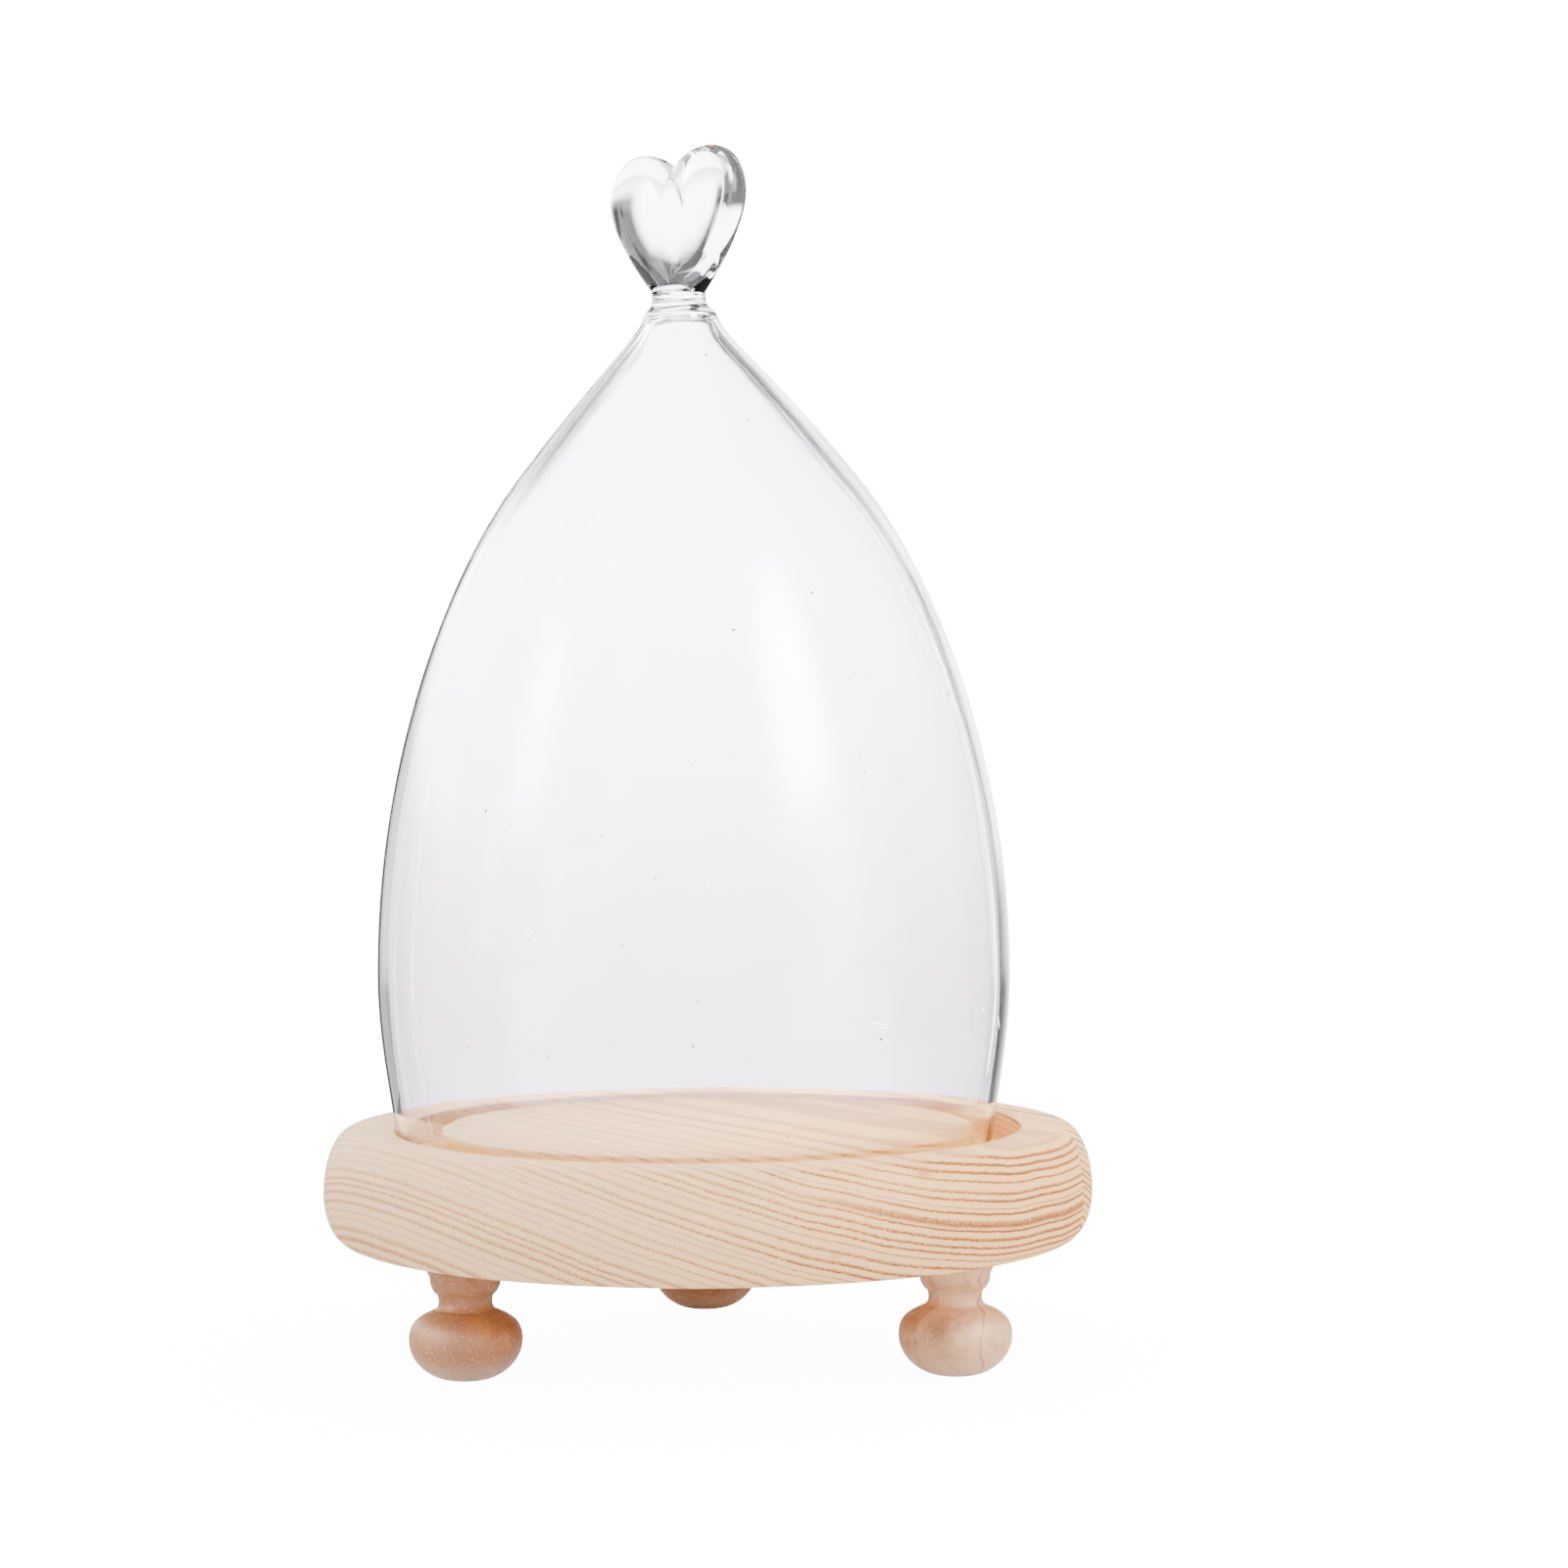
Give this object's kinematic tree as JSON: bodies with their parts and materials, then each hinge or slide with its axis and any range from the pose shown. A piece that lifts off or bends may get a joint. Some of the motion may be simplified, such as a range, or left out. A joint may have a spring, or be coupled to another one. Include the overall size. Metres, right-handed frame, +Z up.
{
  "type": "bell jar dome",
  "caption": "Glass cloche with a heart-shaped knob, which lifts off a round footed pine base and stands in the base's ring groove.",
  "frame": {"origin": "on the floor, under the middle of the round base", "axes": "+Z up along the height; +X to the viewer's right and +Y away from the viewer, with two feet in front and one behind"},
  "size_m": [0.1178, 0.1178, 0.185],
  "materials": {
    "dome_glass": "clear, fire-polished, blown",
    "knob_glass": "clear, fire-polished, solid",
    "pine": "turned, sanded and left bare",
    "pine_stave": "turned, sanded and left bare",
    "foot_beech": "turned, sanded and left bare",
    "dowel_beech": "bare"
  },
  "bodies": {
    "base": {"base_board": "pine", "base_edge_stave": "pine_stave", "foot_front_left": "foot_beech", "foot_front_right": "foot_beech", "foot_back": "foot_beech", "dowel_front_left": "dowel_beech", "dowel_front_right": "dowel_beech", "dowel_back": "dowel_beech"},
    "dome": {"glass_dome": "dome_glass", "neck_collar": "knob_glass", "heart_knob": "knob_glass"}
  },
  "joints": [
    {"name": "dome_lift", "type": "slide", "parent": "base", "child": "dome", "axis": [0, 0, 1], "range_m": [0, 0.15]}
  ]
}
